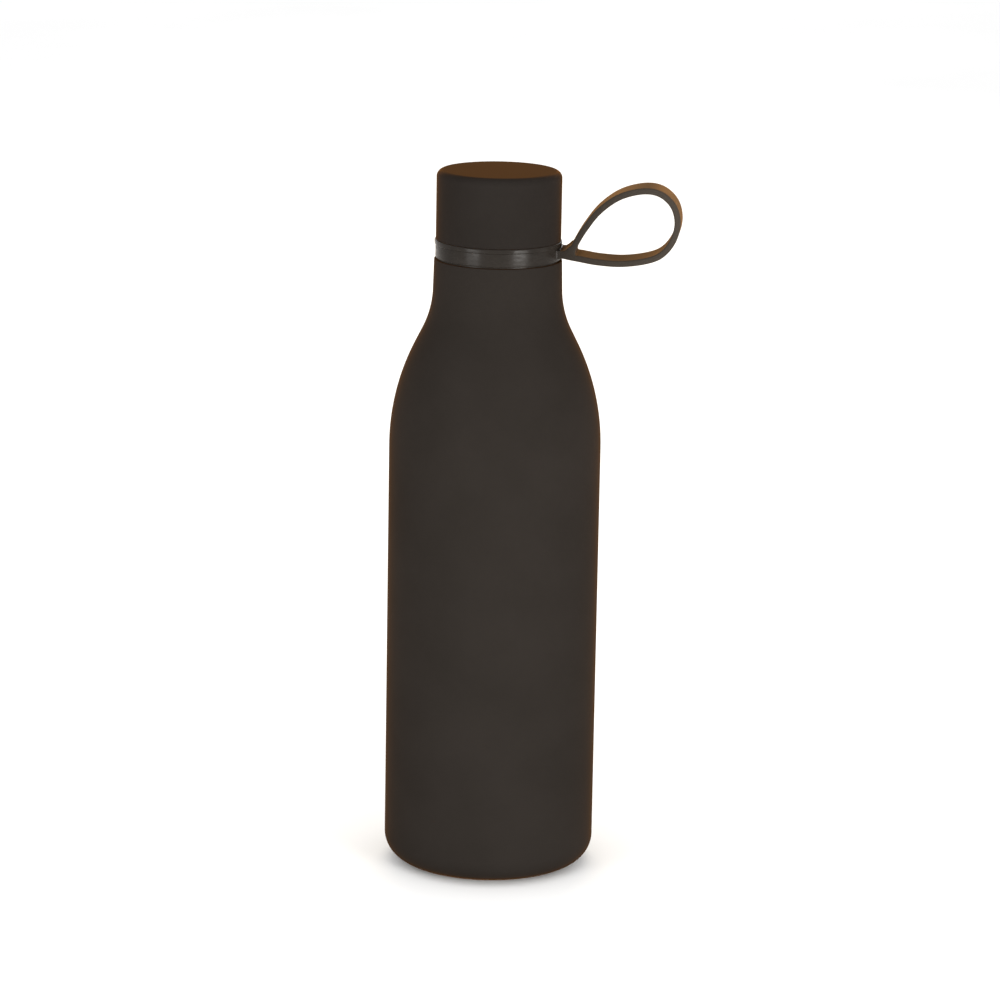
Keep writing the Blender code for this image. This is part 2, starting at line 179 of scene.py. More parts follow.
# The solid stem: its straight neck into the ring, its upper side out to the band, its lower side back from
# the band, and the crotch. The root on the ring flares by ROOT_FLARE and stands ROOT_PROUD of the stem.
STEM_START = 0.02270
STEM_END = 0.01995
ROOT_FLARE = 0.0013
ROOT_PROUD = 0.0001
STEM_TOP_Z = 0.21810
STEM_BOTTOM_Z = 0.21548
STEM_RISE = [(0.02370, 0.21870), (0.02465, 0.21960)]
STEM_SOLE = [(0.02650, 0.21480), (0.02450, 0.21512)]
CROTCH = [(0.02740, 0.21674), (0.02685, 0.21700), (0.02680, 0.21775)]

# Stage, light and camera. The camera's angles are in degrees, its lens and sensor in millimetres.
FLOOR_HALF_SIDE = 12.0
WORLD_STRENGTH = 1.1
CAMERA_PLACE = (0.0, -1.3815, 0.4554)
CAMERA_PITCH = 13.2934
CAMERA_YAW = 0.0875
CAMERA_ROLL = 1.0200
LENS = 147.6
SENSOR_WIDTH = 36.0
CLIP_END = 60.0


# ---------------------------------------------------------------- mesh tools
def rounded_path(corners):
    """Path through (radius, height, fillet) corners, with an arc at each corner that has a fillet."""
    path = []
    for index, corner in enumerate(corners):
        here = Vector(corner[:2])
        fillet = corner[2] if len(corner) > 2 else 0.0
        if not fillet:
            path.append(here)
            continue
        towards = (Vector(corners[index - 1][:2]) - here).normalized()
        onwards = (Vector(corners[(index + 1) % len(corners)][:2]) - here).normalized()
        half = towards.angle(onwards) / 2
        centre = here + (towards + onwards).normalized() * fillet / math.sin(half)
        start = here + towards * fillet / math.tan(half) - centre
        end = here + onwards * fillet / math.tan(half) - centre
        sweep = start.angle_signed(end)
        step_angle = ARC_STEP if fillet > SMALL_FILLET else SMALL_ARC_STEP
        steps = max(3, math.ceil(abs(sweep) / step_angle))
        for step in range(steps + 1):
            path.append(centre + Matrix.Rotation(-sweep * step / steps, 2) @ start)
    return path


def offset_path(path, distance):
    """Move each point of a smooth path towards its left-hand side."""
    moved = []
    for index, point in enumerate(path):
        before = path[max(index - 1, 0)]
        after = path[min(index + 1, len(path) - 1)]
        along = (after - before).normalized()
        moved.append(point + Vector((-along.y, along.x)) * distance)
    return moved


def divided(path, longest):
    """Split a path's segments so that none is longer than the given length."""
    fine = [path[0]]
    for start, end in zip(path, path[1:]):
        steps = max(1, math.ceil((end - start).length / longest))
        fine.extend(start.lerp(end, step / steps) for step in range(1, steps + 1))
    return fine


def new_piece(name, mesh, material, sharp_degrees=40):
    piece = bpy.data.objects.new(name, mesh)
    bpy.context.scene.collection.objects.link(piece)
    mesh.materials.clear()
    mesh.materials.append(material)
    mesh.shade_smooth()
    mesh.set_sharp_from_angle(angle=math.radians(sharp_degrees))
    return piece


def turned_mesh(name, path, closed=True, segments=ROUND_SEGMENTS):
    """Spin a path round Z. An open path starts and ends on the axis."""
    shape = bmesh.new()
    verts = [shape.verts.new((point[0], 0.0, point[1])) for point in path]
    edges = [shape.edges.new(pair) for pair in zip(verts, verts[1:])]
    if closed:
        edges.append(shape.edges.new((verts[-1], verts[0])))
    bmesh.ops.spin(
        shape,
        geom=verts + edges,
        axis=(0, 0, 1),
        angle=math.tau,
        steps=segments,
        use_merge=True,
    )
    bmesh.ops.remove_doubles(shape, verts=shape.verts[:], dist=1e-6)
    bmesh.ops.recalc_face_normals(shape, faces=shape.faces[:])
    mesh = bpy.data.meshes.new(name)
    shape.to_mesh(mesh)
    shape.free()
    return mesh


def ridge_share(angle, height, start_z, turns):
    """How far a point of a threaded wall stands on the ridge: 0 off it, 1 on its crest."""
    share = 0.0
    for turn in range(math.ceil(turns) + 1):
        travelled = angle % math.tau + math.tau * turn
        from_end = min(travelled, math.tau * turns - travelled)
        if from_end <= 0:
            continue
        off_centre = abs(height - start_z - THREAD_PITCH * travelled / math.tau)
        flank = (THREAD_BASE / 2 - off_centre) / ((THREAD_BASE - THREAD_CREST) / 2)
        flank = min(max(flank, 0.0), 1.0)
        rise = min(from_end / THREAD_RUNOUT, 1.0)
        share = max(share, flank * flank * (3 - 2 * flank) * math.sin(rise * math.pi / 2))
    return share


def raise_thread(mesh, wall_r, crest_r, start_z, turns):
    """Push a wall's vertices out, or in, to form its thread ridge."""
    for vert in mesh.vertices:
        radius = math.hypot(vert.co.x, vert.co.y)
        if abs(radius - wall_r) > 1e-5:
            continue
        angle = math.atan2(vert.co.y, vert.co.x)
        share = ridge_share(angle, vert.co.z, start_z, turns)
        if share > 0:
            scale = (radius + (crest_r - wall_r) * share) / radius
            vert.co.x *= scale
            vert.co.y *= scale


def curve_through(points, steps):
    """Catmull-Rom curve through the inner points; the first and last points only set its end directions."""
    curve = []
    for before, start, end, after in zip(points, points[1:], points[2:], points[3:]):
        for step in range(steps):
            t = step / steps
            curve.append(
                (start * 2
                 + (end - before) * t
                 + (before * 2 - start * 5 + end * 4 - after) * t ** 2
                 + (start * 3 - before - end * 3 + after) * t ** 3) / 2
            )
    curve.append(points[-2])
    return curve


def joined_rings(shape, rings):
    """Skin between equal, closed rings of vertices that follow each other."""
    for ring, following in zip(rings, rings[1:]):
        for index in range(len(ring)):
            after = (index + 1) % len(ring)
            shape.faces.new((ring[index], ring[after], following[after], following[index]))


def strap_mesh(name, shape):
    """Finish a shape built in the strap's own frame, and turn it to where the strap points."""
    bmesh.ops.recalc_face_normals(shape, faces=shape.faces[:])
    bmesh.ops.rotate(
        shape,
        verts=shape.verts[:],
        cent=(0, 0, 0),
        matrix=Matrix.Rotation(STRAP_TURN, 3, "Z"),
    )
    mesh = bpy.data.meshes.new(name)
    shape.to_mesh(mesh)
    shape.free()
    return mesh


# ---------------------------------------------------------------- materials
class Nodes:
    """A material's node tree with its Principled shader, and short ways to add to it."""

    def __init__(self, name):
        self.material = bpy.data.materials.new(name)
        self.material.use_nodes = True
        self.tree = self.material.node_tree
        self.shader = self.tree.nodes["Principled BSDF"]
        self.place = self.add("ShaderNodeTexCoord").outputs["Object"]

    def add(self, kind, **settings):
        node = self.tree.nodes.new(kind)
        for key, value in settings.items():
            setattr(node, key, value)
        return node

    def link(self, source, target):
        self.tree.links.new(source, target)

    def stretched(self, scale):
        mapping = self.add("ShaderNodeMapping")
        mapping.inputs["Scale"].default_value = scale
        self.link(self.place, mapping.inputs["Vector"])
        return mapping.outputs["Vector"]

    def noise(self, scale, detail=3.0, rough=0.5, place=None):
        node = self.add("ShaderNodeTexNoise")
        node.inputs["Scale"].default_value = scale
        node.inputs["Detail"].default_value = detail
        node.inputs["Roughness"].default_value = rough
        self.link(place or self.place, node.inputs["Vector"])
        return node.outputs["Fac"]

    def attribute(self, name):
        """A value that the mesh keeps at its points."""
        return self.add("ShaderNodeAttribute", attribute_name=name).outputs["Fac"]

    def cells(self, scale):
        node = self.add("ShaderNodeTexVoronoi", feature="DISTANCE_TO_EDGE")
        node.inputs["Scale"].default_value = scale
        self.link(self.place, node.inputs["Vector"])
        return node.outputs["Distance"]

    def between(self, factor, low, high, from_low=0.35, from_high=0.65):
        node = self.add("ShaderNodeMapRange")
        node.inputs["From Min"].default_value = from_low
        node.inputs["From Max"].default_value = from_high
        node.inputs["To Min"].default_value = low
        node.inputs["To Max"].default_value = high
        self.link(factor, node.inputs["Value"])
        return node.outputs["Result"]

    def mixed(self, factor, first, second):
        node = self.add("ShaderNodeMix", data_type="RGBA")
        sockets = {socket.identifier: socket for socket in node.inputs}
        self.link(factor, sockets["Factor_Float"])
        for identifier, colour in (("A_Color", first), ("B_Color", second)):
            if isinstance(colour, tuple):
                sockets[identifier].default_value = (*colour, 1.0)
            else:
                self.link(colour, sockets[identifier])
        return next(s for s in node.outputs if s.identifier == "Result_Color")

    def bumps(self, *layers):
        """Bump layers as (height, strength, distance), the coarse one first."""
        normal = None
        for height, strength, distance in layers:
            node = self.add("ShaderNodeBump")
            node.inputs["Strength"].default_value = strength
            node.inputs["Distance"].default_value = distance
            self.link(height, node.inputs["Height"])
            if normal:
                self.link(normal, node.inputs["Normal"])
            normal = node.outputs["Normal"]
        self.link(normal, self.shader.inputs["Normal"])

    def set(self, **values):
        for key, value in values.items():
            self.shader.inputs[key.replace("_", " ")].default_value = value

    def colour(self, source):
        self.link(source, self.shader.inputs["Base Color"])

    def roughness(self, source):
        self.link(source, self.shader.inputs["Roughness"])

    def worn_edges(self, colour, worn, amount):
        """Mix a worn colour in where the surface turns sharply outwards."""
        pointy = self.add("ShaderNodeNewGeometry").outputs["Pointiness"]
        edge = self.between(pointy, 0.0, amount, 0.515, 0.58)
        return self.mixed(edge, colour, worn)


def soft_touch(name, dark, light, sheen):
    """Fine matte coat with a soft, warm sheen at a shallow angle."""
    nodes = Nodes(name)
    mottle = nodes.mixed(nodes.between(nodes.noise(38.0), 0.0, 1.0), dark, light)
    grain = nodes.noise(2600.0, 2.0)
    orange_peel = nodes.noise(420.0, 2.0)
    nodes.colour(nodes.worn_edges(mottle, tuple(1.6 * c for c in light), 0.15))
    nodes.roughness(nodes.between(nodes.noise(90.0), 0.58, 0.68))
    nodes.bumps((orange_peel, 0.10, 0.0001), (grain, 0.22, 0.00004))
    nodes.set(
        Specular_IOR_Level=0.0,
        Sheen_Weight=sheen,
        Sheen_Roughness=0.30,
        Sheen_Tint=(1.0, 0.38, 0.05, 1.0),
    )
    return nodes.material


def moulded(name, dark, light, rough, sheen, specular=0.5):
    """Moulded elastomer or plastic with a faint grain and flow marks."""
    nodes = Nodes(name)
    mottle = nodes.mixed(nodes.between(nodes.noise(120.0), 0.0, 1.0), dark, light)
    nodes.colour(nodes.worn_edges(mottle, tuple(1.5 * c for c in light), 0.4))
    smear = nodes.noise(1.0, 4.0, 0.6, nodes.stretched((260.0, 260.0, 900.0)))
    nodes.roughness(nodes.between(smear, rough - 0.08, rough + 0.10))
    nodes.bumps((nodes.noise(700.0, 3.0), 0.12, 0.0001), (nodes.noise(4200.0, 2.0), 0.15, 0.00003))
    nodes.set(
        Specular_IOR_Level=specular,
        Sheen_Weight=sheen,
        Sheen_Roughness=0.32,
        Sheen_Tint=(1.0, 0.42, 0.05, 1.0),
    )
    return nodes.material


def strap_elastomer(name, dark, light):
    """Matte elastomer, with painted sheen making the strap's broad faces paler and a painted highlight
    making it paler towards its far end.
    """
    nodes = Nodes(name)
    mottle = nodes.mixed(nodes.between(nodes.noise(120.0), 0.0, 1.0), dark, light)
    # Painted highlight: the base colour turns paler towards the strap's far end, where light catches it.
    far = nodes.mixed(nodes.attribute("far_painted_highlight"), mottle, tuple(1.70 * c for c in light))
    # Painted sheen: the broad faces get a paler base colour in place of the sheen they catch at a shallow
    # angle.
    broad = nodes.mixed(nodes.attribute("broad_painted_sheen"), far, tuple(1.75 * c for c in light))
    nodes.colour(nodes.worn_edges(broad, tuple(1.5 * c for c in light), 0.3))
    nodes.roughness(nodes.between(nodes.noise(260.0, 4.0), 0.40, 0.56))
    nodes.bumps((nodes.noise(700.0, 3.0), 0.12, 0.0001), (nodes.noise(4200.0, 2.0), 0.15, 0.00003))
    nodes.set(
        Specular_IOR_Level=0.0,
        Sheen_Weight=0.26,
        Sheen_Roughness=0.32,
        Sheen_Tint=(1.0, 0.46, 0.12, 1.0),
    )
    return nodes.material


def brushed(name, dark, light, rough):
    """Steel with fine lines running round it."""
    nodes = Nodes(name)
    lines = nodes.noise(1.0, 4.0, 0.65, nodes.stretched((30.0, 30.0, 9000.0)))
    cloud = nodes.noise(60.0)
    nodes.colour(nodes.mixed(nodes.between(cloud, 0.0, 1.0), dark, light))
    nodes.roughness(nodes.between(lines, rough - 0.06, rough + 0.12))
    nodes.bumps((lines, 0.18, 0.00003))
    nodes.set(Metallic=1.0)
    return nodes.material


def crinkled_foil(name):
    nodes = Nodes(name)
    folds = nodes.cells(260.0)
    tint = nodes.between(nodes.noise(45.0), 0.0, 1.0)
    nodes.colour(nodes.mixed(tint, (0.72, 0.36, 0.22), (0.86, 0.48, 0.32)))
    nodes.roughness(nodes.between(nodes.noise(150.0), 0.18, 0.32))
    nodes.bumps((folds, 0.5, 0.0002))
    nodes.set(Metallic=1.0)
    return nodes.material


def closed_cell_foam(name):
    nodes = Nodes(name)
    cells = nodes.cells(2400.0)
    wall = nodes.between(cells, 0.0, 1.0, 0.0, 0.2)
    nodes.colour(nodes.mixed(wall, (0.55, 0.53, 0.48), (0.82, 0.80, 0.74)))
    nodes.roughness(nodes.between(nodes.noise(600.0), 0.8, 0.95))
    nodes.bumps((cells, 0.6, 0.0002))
    return nodes.material


def sintered(name, dark, light, metallic, rough):
    nodes = Nodes(name)
    grains = nodes.noise(3200.0, 4.0, 0.7)
    nodes.colour(nodes.mixed(nodes.between(grains, 0.0, 1.0), dark, light))
    nodes.roughness(nodes.between(nodes.noise(900.0), rough - 0.1, rough + 0.1))
    nodes.bumps((grains, 0.4, 0.0001))
    nodes.set(Metallic=metallic)
    return nodes.material


COAT = soft_touch("matte_coat", (0.0158, 0.0134, 0.0116), (0.0176, 0.0149, 0.0130), 0.11)
COVER_COAT = soft_touch("cover_coat", (0.0141, 0.0120, 0.0106), (0.0157, 0.0134, 0.0120), 0.175)
CAP_PLASTIC = moulded("cap_plastic", (0.0138, 0.0116, 0.0098), (0.0170, 0.0144, 0.0122), 0.21, 0.04, 0.06)
RING_PLASTIC = moulded("ring_plastic", (0.0138, 0.0116, 0.0098), (0.0170, 0.0144, 0.0122), 0.25, 0.04, 0.055)
STRAP_RUBBER = strap_elastomer("strap_elastomer", (0.0190, 0.0160, 0.0130), (0.0222, 0.0186, 0.0152))
PAD_RUBBER = moulded("pad_rubber", (0.014, 0.013, 0.013), (0.024, 0.022, 0.021), 0.75, 0.05, 0.3)
GASKET = moulded("gasket_silicone", (0.34, 0.34, 0.33), (0.46, 0.46, 0.44), 0.45, 0.05)
LINER_STEEL = brushed("liner_steel", (0.50, 0.49, 0.47), (0.62, 0.61, 0.59), 0.28)
FINISH_STEEL = brushed("neck_steel", (0.33, 0.32, 0.305), (0.42, 0.41, 0.395), 0.36)
HOLDER_STEEL = brushed("holder_steel", (0.46, 0.45, 0.43), (0.58, 0.57, 0.55), 0.38)


# ---------------------------------------------------------------- bottle
def body_outline():
    """Painted outside from the pad's recess up to the ledge under the strap ring."""
    recess_r = PAD_HIGH.x + GAP
    return rounded_path([
        (recess_r, PAD_HIGH.z + GAP),
        (recess_r, BASE_Z, SOFT_EDGE),
        (BODY_R, BASE_Z, BASE_FILLET),
        (BODY_R, SHOULDER_Z, SHOULDER_FILLET),
        (NECK_CORNER_R, NECK_CORNER_Z, NECK_FILLET),
        (LEDGE_R, LEDGE_Z, LEDGE_FILLET),
        (FINISH_R, LEDGE_Z, SOFT_EDGE),
        (FINISH_R, LEDGE_Z + GAP),
    ])


def build_painted_shell():
    outside = divided(body_outline(), SHELL_STEP)
    inside = offset_path(outside, STEEL)
    inside[0] = Vector((outside[0].x, outside[0].y + STEEL))
    path = outside + inside[::-1]
    shell = new_piece("painted_shell", turned_mesh("painted_shell", path), COAT)
    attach(shell, "bottle")
    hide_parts("outer_shell", "outer_base")


def build_neck_finish():
    """Bare steel mouth tube with its rolled thread."""
    inner_r = FINISH_R - STEEL
    wall = [Vector((FINISH_R, LEDGE_Z - STEEL)), Vector((FINISH_R, FINISH_TOP_Z - EDGE))]
    outside = divided(wall, THREAD_STEP)
    top = rounded_path([
        (FINISH_R, FINISH_TOP_Z - 2 * EDGE),
        (FINISH_R, FINISH_TOP_Z, EDGE),
        (inner_r, FINISH_TOP_Z, EDGE),
        (inner_r, LEDGE_Z - STEEL),
    ])
    mesh = turned_mesh("neck_finish", outside[:-2] + top, segments=THREAD_SEGMENTS)
    raise_thread(mesh, FINISH_R, NECK_CREST_R, NECK_THREAD_Z, NECK_THREAD_TURNS)
    finish = new_piece("neck_finish", mesh, FINISH_STEEL)
    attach(finish, "bottle")
    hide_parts("outer_shell")


def build_liner():
    """Drink chamber with its floor, neck and rolled mouth lip, as one welded vessel."""
    outside = divided(rounded_path([
        (0, FLOOR_LOW.z),
        (LINER_R, FLOOR_LOW.z, LINER_FLOOR_FILLET),
        (LINER_R, LINER_SHOULDER_Z, LINER_SHOULDER_FILLET),
        (LINER_NECK_R, LINER_NECK_Z, LINER_NECK_FILLET),
        (LINER_NECK_R, FINISH_TOP_Z - LIP_THICKNESS),
    ]), LINER_STEP)
    inside = offset_path(outside, STEEL)
    inside[0].x = 0.0
    lip_under_z = LIP_TOP_Z - LIP_THICKNESS
    lip = rounded_path([
        (LINER_NECK_R, lip_under_z, GAP),
        (-GASKET_LOW.x, lip_under_z, LIP_THICKNESS * 0.45),
        (-GASKET_LOW.x, LIP_TOP_Z, LIP_THICKNESS * 0.45),
        (LINER_NECK_R - STEEL, LIP_TOP_Z, LIP_THICKNESS * 0.7),
        (LINER_NECK_R - STEEL, FINISH_TOP_Z - LIP_THICKNESS),
    ])
    mesh = turned_mesh("inner_vessel", outside + lip + inside[-2::-1], closed=False)
    liner = new_piece("inner_vessel", mesh, LINER_STEEL)
    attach(liner, "bottle")
    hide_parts("inner_liner", "liner_base")


def build_base_pad():
    """Rubber pad with shallow concentric grooves in its flat foot."""
    radius = PAD_HIGH.x
    corners = [(0, PAD_LOW.z)]
    groove_z = PAD_LOW.z + PAD_GROOVE_DEPTH
    for index in range(PAD_GROOVE_COUNT):
        middle = radius * (PAD_GROOVE_FIRST + PAD_GROOVE_SPACING * index)
        corners += [
            (middle - PAD_GROOVE_HALF_MOUTH, PAD_LOW.z, EDGE),
            (middle - PAD_GROOVE_HALF_FLOOR, groove_z, EDGE),
            (middle + PAD_GROOVE_HALF_FLOOR, groove_z, EDGE),
            (middle + PAD_GROOVE_HALF_MOUTH, PAD_LOW.z, EDGE),
        ]
    corners += [
        (radius, PAD_LOW.z, SOFT_EDGE),
        (radius, PAD_HIGH.z, EDGE),
        (0, PAD_HIGH.z),
    ]
    mesh = turned_mesh("foot_pad", rounded_path(corners), closed=False)
    pad = new_piece("foot_pad", mesh, PAD_RUBBER)
    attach(pad, "bottle")
    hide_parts("base_pad")


# ---------------------------------------------------------------- cap
def build_cap_cover():
    inner_r = CAP_R - COVER_WALL
    roof_z = CAP_TOP_Z - COVER_WALL
    skirt_z = FLANGE_TOP_Z + GAP / 6
    path = rounded_path([
        (0, roof_z),
        (inner_r, roof_z, CAP_FILLET - COVER_WALL),
        (inner_r, skirt_z, EDGE),
        (CAP_R, skirt_z, EDGE),
        (CAP_R, CAP_TOP_Z, CAP_FILLET),
        (0, CAP_TOP_Z),
    ])
    mesh = turned_mesh("cap_cover_skin", divided(path, COVER_STEP), closed=False)
    cover = new_piece("cap_cover_skin", mesh, COVER_COAT)
    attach(cover, "cap")
    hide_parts("cap_cover")


def build_cap_core():
    """Moulded inside of the cap: boss, threaded skirt, strap groove and the flange that shows."""
    sleeve_r = CAP_R - COVER_WALL - GAP
    recess_r = BOSS_R - BOSS_WALL
    lip_z = FLANGE_BOTTOM_Z - GAP / 2
    wall = [Vector((CAP_ROOT_R, ROOF_BOTTOM_Z - EDGE)), Vector((CAP_ROOT_R, CAP_LOW.z + EDGE))]
    threaded = divided(wall, THREAD_STEP)
    lower = rounded_path([
        (0, BOSS_Z),
        (BOSS_LIP_R, BOSS_Z, GAP),
        (BOSS_LIP_R, BOSS_Z + BOSS_WALL - GAP, EDGE),
        (BOSS_R, BOSS_Z + BOSS_WALL, EDGE),
        (BOSS_R, ROOF_BOTTOM_Z, GAP),
        (CAP_ROOT_R, ROOF_BOTTOM_Z),
    ])
    upper = rounded_path([
        (CAP_ROOT_R, CAP_LOW.z + 2 * EDGE),
        (CAP_ROOT_R, CAP_LOW.z, EDGE),
        (SKIRT_R, CAP_LOW.z, EDGE),
        (SKIRT_R, GROOVE_BOTTOM_Z, EDGE),
        (GROOVE_R, GROOVE_BOTTOM_Z, EDGE),
        (GROOVE_R, GROOVE_TOP_Z, EDGE),
        (SKIRT_R, GROOVE_TOP_Z, EDGE),
        (SKIRT_R, lip_z, EDGE),
        (FLANGE_R, lip_z, EDGE),
        (FLANGE_R, FLANGE_TOP_Z, SOFT_EDGE),
        (sleeve_r, FLANGE_TOP_Z, EDGE),
        (sleeve_r, CAP_HIGH.z, EDGE),
        (recess_r, CAP_HIGH.z, EDGE),
        (recess_r, BOSS_Z + BOSS_WALL, EDGE),
        (0, BOSS_Z + BOSS_WALL),
    ])
    path = lower + threaded[:-2] + upper[1:]
    mesh = turned_mesh("cap_core", path, closed=False, segments=THREAD_SEGMENTS)
    raise_thread(mesh, CAP_ROOT_R, CAP_CREST_R, NECK_THREAD_Z - CAP_THREAD_DROP, CAP_THREAD_TURNS)
    core = new_piece("cap_core", mesh, CAP_PLASTIC)
    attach(core, "cap")
    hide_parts("cap_body")


def build_gasket():
    outer_r = -GASKET_LOW.x
    inner_r = BOSS_R + GAP
    path = rounded_path([
        (inner_r, GASKET_LOW.z, GAP),
        ((inner_r + outer_r) / 2, GASKET_LOW.z + EDGE, GAP),
        (outer_r, GASKET_LOW.z, GAP),
        (outer_r, GASKET_HIGH.z, GAP),
        (inner_r, GASKET_HIGH.z, GAP),
    ])
    gasket = new_piece("seal_ring", turned_mesh("seal_ring", path), GASKET)
    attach(gasket, "cap_seal")
    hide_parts("cap_gasket")


# ---------------------------------------------------------------- strap
def build_collar():
    """Ring of the strap that snaps into the cap's groove."""
    path = rounded_path([
        (RING_R, RING_LOW.z, SOFT_EDGE),
        (RING_R, RING_HIGH.z + RING_LIFT, EDGE),
        (RING_INNER_R, RING_HIGH.z + RING_LIFT, EDGE),
        (RING_INNER_R, GROOVE_TOP_Z - GAP),
        (GROOVE_R + GAP, GROOVE_TOP_Z - 2 * GAP),
        (GROOVE_R + GAP, GROOVE_BOTTOM_Z + 2 * GAP),
        (RING_INNER_R, GROOVE_BOTTOM_Z + GAP),
        (RING_INNER_R, LEDGE_Z + RING_LIFT),
        (RING_R - 2 * GAP, LEDGE_Z + RING_LIFT),
        (RING_R - 2 * GAP, RING_LOW.z),
    ])
    collar = new_piece("strap_collar", turned_mesh("strap_collar", path), RING_PLASTIC)
    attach(collar, "strap_band")
    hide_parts("strap_ring")


def strap_outline():
    """Contours of the strap: the outer one, the inner one, and the points in the band, sole and neck."""
    centre = curve_through([Vector(point) for point in LOOP_POINTS], BAND_STEPS)
    half = STRAP_THICKNESS / 2
    outer = offset_path(centre, half)
    inner = offset_path(centre, -half)
    reaches = [
        STEM_START + (STEM_END - STEM_START) * step / NECK_STEPS
        for step in range(NECK_STEPS + 1)
    ]
    top = [Vector((reach, STEM_TOP_Z)) for reach in reaches]
    bottom = [Vector((reach, STEM_BOTTOM_Z)) for reach in reaches]
    outer_lead = outer[BAND_LEAD]
    outer_trail = outer[-1 - BAND_LEAD]
    inner_lead = inner[BAND_LEAD]
    inner_trail = inner[-1 - BAND_LEAD]
    rise_points = [top[NECK_LEAD], top[0], *map(Vector, STEM_RISE), outer[0], outer_lead]
    sole_points = [outer_trail, outer[-1], *map(Vector, STEM_SOLE), bottom[0], bottom[NECK_LEAD]]
    crotch_points = [inner_trail, inner[-1], *map(Vector, CROTCH), inner[0], inner_lead]
    rise = curve_through(rise_points, BLEND_STEPS)
    sole = curve_through(sole_points, BLEND_STEPS)
    crotch = curve_through(crotch_points, BLEND_STEPS)
    outer += sole[1:] + bottom[1:] + top[::-1] + rise[1:-1]
    return outer, inner + crotch[1:-1], len(centre), len(sole), len(top)


def inset_loop(loop, distance):
    """Move the points of a closed contour towards its left-hand side."""
    moved = []
    for index, point in enumerate(loop):
        along = (loop[(index + 1) % len(loop)] - loop[index - 1]).normalized()
        moved.append(point + Vector((-along.y, along.x)) * distance)
    return moved


def strap_layers():
    """Layers across the strap as (place across, inset of the contours), for rounded long edges."""
    layers = []
    for step in range(EDGE_STEPS + 1):
        angle = math.pi / 2 * (1 - step / EDGE_STEPS)
        across = STRAP_WIDTH / 2 - STRAP_EDGE * (1 - math.sin(angle))
        layers.append((-across, STRAP_EDGE * (1 - math.cos(angle))))
    edge = layers[-1][0]
    middle = [(edge * (1 - 2 * step / WIDTH_STEPS), 0.0) for step in range(1, WIDTH_STEPS)]
    return layers + middle + [(-across, inset) for across, inset in reversed(layers)]


def root_profile(inset):
    """Plan of the root where the stem grows out of the collar, with a hollow flare on each side."""
    half_width = STRAP_WIDTH / 2 + ROOT_PROUD - inset
    reach = math.sqrt((RING_R + ROOT_FLARE) ** 2 - (half_width + ROOT_FLARE) ** 2)
    centre = Vector((reach, -half_width - ROOT_FLARE))
    first = math.atan2(-centre.y, -centre.x)
    side = [centre.normalized() * (RING_R - 2 * GAP)]
    for step in range(FLARE_STEPS + 1):
        angle = first + (math.pi / 2 - first) * step / FLARE_STEPS
        side.append(centre + Vector((math.cos(angle), math.sin(angle))) * ROOT_FLARE)
    side.append(Vector((reach + GAP, -half_width)))
    side.append(Vector((reach + 2 * GAP - inset, -half_width + GAP)))
    return side + [Vector((point.x, -point.y)) for point in reversed(side)]


def build_root():
    """Glossy root of the stem on the collar."""
    shape = bmesh.new()
    low = STEM_BOTTOM_Z - ROOT_PROUD
    high = STEM_TOP_Z + ROOT_PROUD
    rings = []
    for height, inset in ((low, EDGE), (low + EDGE, 0.0), (high - EDGE, 0.0), (high, EDGE)):
        rings.append([shape.verts.new((point.x, point.y, height)) for point in root_profile(inset)])
    joined_rings(shape, rings)
    shape.faces.new(rings[0][::-1])
    shape.faces.new(rings[-1])
    root = new_piece("strap_root", strap_mesh("strap_root", shape), RING_PLASTIC, 30)
    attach(root, "strap_band")


def mark_strap_shares(mesh):
    """Keep at each point how far out along the strap it is, and whether it is on a broad face: the masks of
    the painted highlight and the painted sheen in the strap's colour.
    """
    across_way = Vector((-math.sin(STRAP_TURN), math.cos(STRAP_TURN), 0))
    far_painted_highlight = mesh.attributes.new("far_painted_highlight", "FLOAT", "POINT")
    broad_painted_sheen = mesh.attributes.new("broad_painted_sheen", "FLOAT", "POINT")
    for vertex in mesh.vertices:
        past_stem = math.hypot(vertex.co.x, vertex.co.y) - STEM_START
        depth = STRAP_WIDTH / 2 - abs(vertex.co.dot(across_way))
        share = min(max(past_stem / (LOOP_HIGH.x - STEM_START), 0.0), 1.0)
        far_painted_highlight.data[vertex.index].value = share
        broad_painted_sheen.data[vertex.index].value = min(depth / STRAP_EDGE, 1.0) if past_stem > 0 else 0.0


def close_strap_side(shape, outside, inside, band_end, neck_start, neck_end):
    """Fill one side of the strap between its two contours, along the band, the neck and the stem."""
    for index in range(band_end):
        shape.faces.new((outside[index], outside[index + 1], inside[index + 1], inside[index]))
    for low in range(neck_start, neck_end):
        high = 2 * neck_end + 1 - low
        shape.faces.new((outside[low], outside[low + 1], outside[high - 1], outside[high]))
    stem_top = outside[2 * neck_end + 1 - neck_start:]
    stem_bottom = outside[band_end:neck_start + 1]
    shape.faces.new((
        inside[0],
        outside[0],
        *stem_top[::-1],
        *stem_bottom[::-1],
        *inside[band_end:],
    ))


def build_strap():
    """Flat band bent to a teardrop, with a solid stem that runs into the collar."""
    outer, inner, band_count, sole_count, neck_count = strap_outline()
    band_end = band_count - 1
    neck_start = band_end + sole_count - 1
    neck_end = neck_start + neck_count - 1
    shape = bmesh.new()
    outer_rings = []
    inner_rings = []
    for across, inset in strap_layers():
        outside = inset_loop(outer, -inset)
        inside = inset_loop(inner, inset)
        outer_rings.append([shape.verts.new((point.x, across, point.y)) for point in outside])
        inner_rings.append([shape.verts.new((point.x, across, point.y)) for point in inside])
    joined_rings(shape, outer_rings)
    joined_rings(shape, inner_rings)
    for side in (0, -1):
        close_strap_side(shape, outer_rings[side], inner_rings[side], band_end, neck_start, neck_end)
    mesh = strap_mesh("carry_strap", shape)
    mark_strap_shares(mesh)
    strap = new_piece("carry_strap", mesh, STRAP_RUBBER, 50)
    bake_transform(strap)
    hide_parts("strap_loop")


